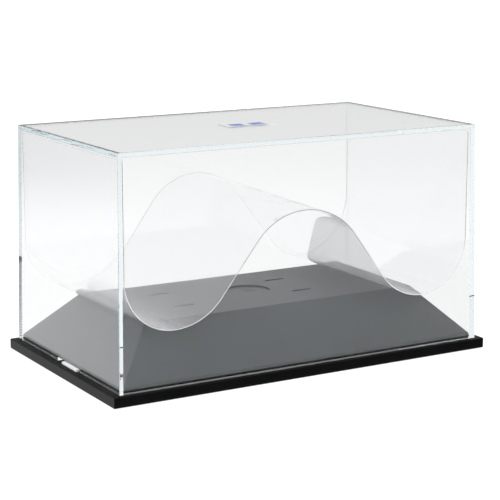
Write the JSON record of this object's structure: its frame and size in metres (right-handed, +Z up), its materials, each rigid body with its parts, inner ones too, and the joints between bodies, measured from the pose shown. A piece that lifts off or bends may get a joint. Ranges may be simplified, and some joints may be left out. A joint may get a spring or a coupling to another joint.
{
  "type": "collector display case",
  "caption": "Table-top display case: a clear box cover lifts off a flat black plinth, round a grey sloping stage for a scale model, with a bent clear sheet inside.",
  "frame": {"origin": "middle of the plinth's footprint, on the surface that the feet stand on", "axes": "+X along the long side to the right, +Y to the back, +Z up"},
  "size_m": [0.343, 0.199, 0.1902],
  "materials": {
    "black_plinth": "satin black moulded plastic",
    "white_tab": "plain white plastic",
    "foot_rubber": "soft matte disc",
    "grey_stage": "fine matte grain",
    "clear_sheet": "thin clear plastic sheet",
    "clear_pane": "polished clear acrylic",
    "clear_sticker": "thin clear film with plain print"
  },
  "bodies": {
    "base": {"base_plinth": "black_plinth", "locating_plate": "black_plinth", "notch_tab": "white_tab", "foot_front_left": "foot_rubber", "foot_front_right": "foot_rubber", "foot_back_left": "foot_rubber", "foot_back_right": "foot_rubber"},
    "stage": {"display_stage": "grey_stage"},
    "sheet": {"bent_sheet": "clear_sheet"},
    "cover": {"cover_front_pane": "clear_pane", "cover_back_pane": "clear_pane", "cover_left_pane": "clear_pane", "cover_right_pane": "clear_pane", "cover_top_pane": "clear_pane", "top_sticker": "clear_sticker"}
  },
  "joints": [
    {"name": "stage_lift", "type": "slide", "parent": "base", "child": "stage", "axis": [0, 0, 1], "range_m": [0, 0.06]},
    {"name": "sheet_lift", "type": "slide", "parent": "stage", "child": "sheet", "axis": [0, 0, 1], "range_m": [0, 0.15]},
    {"name": "cover_lift", "type": "slide", "parent": "sheet", "child": "cover", "axis": [0, 0, 1], "range_m": [0, 0.2]}
  ]
}
